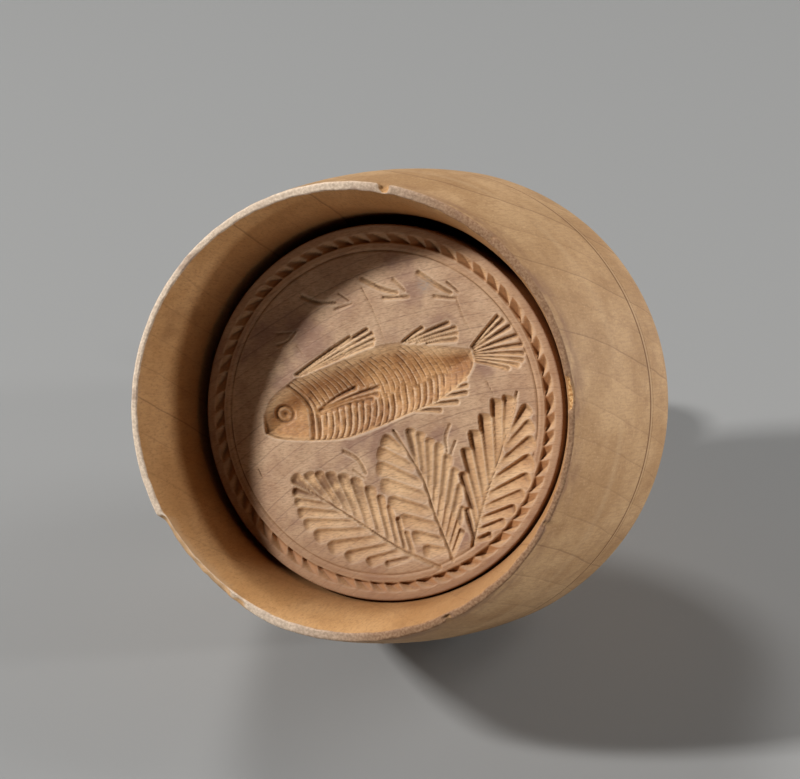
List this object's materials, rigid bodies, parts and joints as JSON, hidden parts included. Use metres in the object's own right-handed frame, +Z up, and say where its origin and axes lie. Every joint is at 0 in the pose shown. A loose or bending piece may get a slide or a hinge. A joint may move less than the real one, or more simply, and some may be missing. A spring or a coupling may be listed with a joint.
{
  "type": "butter mould",
  "caption": "Turned wooden butter mould: a round case with a flared mouth, a sliding print carved with a fish and leaves, and a knobbed plunger handle.",
  "frame": {"origin": "on the plane that the mould lies on, under the middle of its length and width", "axes": "+Z up; the mould lies on its side with its mouth towards -Y and its knob towards +Y; the mould's own axis lies in the plane X = 0 and drops 26 degrees from the mouth to the knob"},
  "size_m": [0.1244, 0.1912, 0.1445],
  "materials": {
    "case_wood": "worn bare turned wood, pale tan, with a matt sheen from handling",
    "print_wood": "bare carved wood, darker and scrubbed, with dirt in the cuts",
    "handle_wood": "bare turned wood, polished by the hand"
  },
  "bodies": {
    "case": {"case": "case_wood"},
    "plunger": {"plunger_handle": "handle_wood"},
    "print": {"print_disc": "print_wood"}
  },
  "joints": [
    {"name": "plunger_slide", "type": "slide", "parent": "case", "child": "plunger", "axis": [0, -0.8989, 0.4381], "range_m": [-0.038, 0.0385]},
    {"name": "print_turn", "type": "hinge", "parent": "plunger", "child": "print", "pos_m": [0, -0.03155, 0.07344], "axis": [0, -0.8989, 0.4381], "continuous": true}
  ]
}
